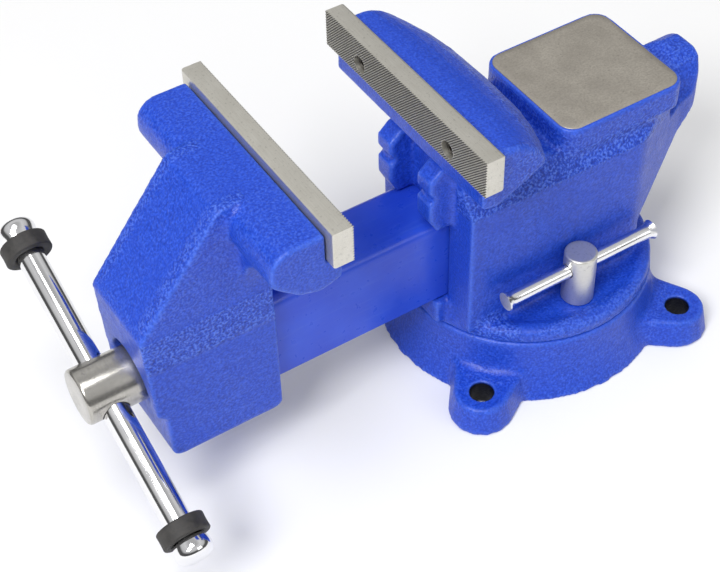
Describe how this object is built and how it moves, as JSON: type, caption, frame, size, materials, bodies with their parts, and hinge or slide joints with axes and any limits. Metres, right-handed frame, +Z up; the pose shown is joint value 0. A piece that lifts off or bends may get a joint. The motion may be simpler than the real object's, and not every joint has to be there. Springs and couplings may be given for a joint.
{
  "type": "bench vise",
  "caption": "Swivel-base bench vise: a screw-driven sliding jaw on a steel bar, serrated jaw plates, cast pipe jaws, a striking anvil, a T-bar swivel lock and a foot with bolt lugs.",
  "frame": {"origin": "on the swivel axis, on the bench plane under the foot", "axes": "+X along the spindle from the handle towards the tail, +Y towards the far side, +Z up"},
  "size_m": [0.3077, 0.1526, 0.1585],
  "materials": {
    "blue_paint": "glossy blue enamel over a sand casting",
    "ground_steel": "ground, with fine diamond serrations",
    "bright_steel": "turned, bright",
    "chrome": "polished plating",
    "black_steel": "black oxide",
    "plain_iron": "unpainted casting",
    "rubber": "matt black"
  },
  "bodies": {
    "base": {"swivel_base": "blue_paint"},
    "body": {"rear_casting": "blue_paint", "rear_jaw_plate": "ground_steel", "rear_jaw_screw_near": "black_steel", "rear_jaw_screw_far": "black_steel", "main_nut": "plain_iron", "nut_bolt": "black_steel", "lock_shoe_near": "plain_iron", "lock_shoe_far": "plain_iron"},
    "front_jaw": {"front_casting": "blue_paint", "slide_bar": "blue_paint", "front_jaw_plate": "ground_steel", "front_jaw_screw_near": "black_steel", "front_jaw_screw_far": "black_steel", "thrust_washer": "bright_steel"},
    "spindle": {"spindle": "bright_steel", "spindle_spring": "black_steel", "retaining_washer": "bright_steel", "cotter_pin": "bright_steel"},
    "handle": {"handle_bar": "chrome", "handle_cap_lower": "chrome", "handle_cap_upper": "chrome", "handle_ring_lower": "rubber", "handle_ring_upper": "rubber"},
    "lock_bolt_near": {"lock_bolt_near": "bright_steel"},
    "lock_bolt_far": {"lock_bolt_far": "bright_steel"},
    "lock_bar_near": {"lock_bar_near": "chrome"},
    "lock_bar_far": {"lock_bar_far": "chrome"}
  },
  "joints": [
    {"name": "swivel", "type": "hinge", "parent": "base", "child": "body", "pos_m": [0, 0, 0.0308], "axis": [0, 0, 1], "continuous": true},
    {"name": "jaw_slide", "type": "slide", "parent": "body", "child": "front_jaw", "axis": [-1, 0, 0], "range_m": [-0.0582, 0.0431]},
    {"name": "spindle_turn", "type": "hinge", "parent": "front_jaw", "child": "spindle", "pos_m": [-0.1856, 0, 0.069], "axis": [-1, 0, 0], "range_deg": [-4190, 3103]},
    {"name": "handle_slide", "type": "slide", "parent": "spindle", "child": "handle", "axis": [0, 0.9252, 0.3795], "range_m": [-0.0515, 0.0515]},
    {"name": "lock_turn_near", "type": "hinge", "parent": "body", "child": "lock_bolt_near", "pos_m": [0, -0.0415, 0.0552], "axis": [0, 0, 1], "range_deg": [-2, 2]},
    {"name": "lock_turn_far", "type": "hinge", "parent": "body", "child": "lock_bolt_far", "pos_m": [0, 0.0415, 0.0552], "axis": [0, 0, 1], "range_deg": [-2, 2]},
    {"name": "lock_bar_slide_near", "type": "slide", "parent": "lock_bolt_near", "child": "lock_bar_near", "axis": [1, 0, 0], "range_m": [-0.029, 0.029]},
    {"name": "lock_bar_slide_far", "type": "slide", "parent": "lock_bolt_far", "child": "lock_bar_far", "axis": [1, 0, 0], "range_m": [-0.029, 0.029]}
  ],
  "couplings": [
    {"joint": "jaw_slide", "follows": "spindle_turn", "m_per_rad": 0.00079577}
  ]
}
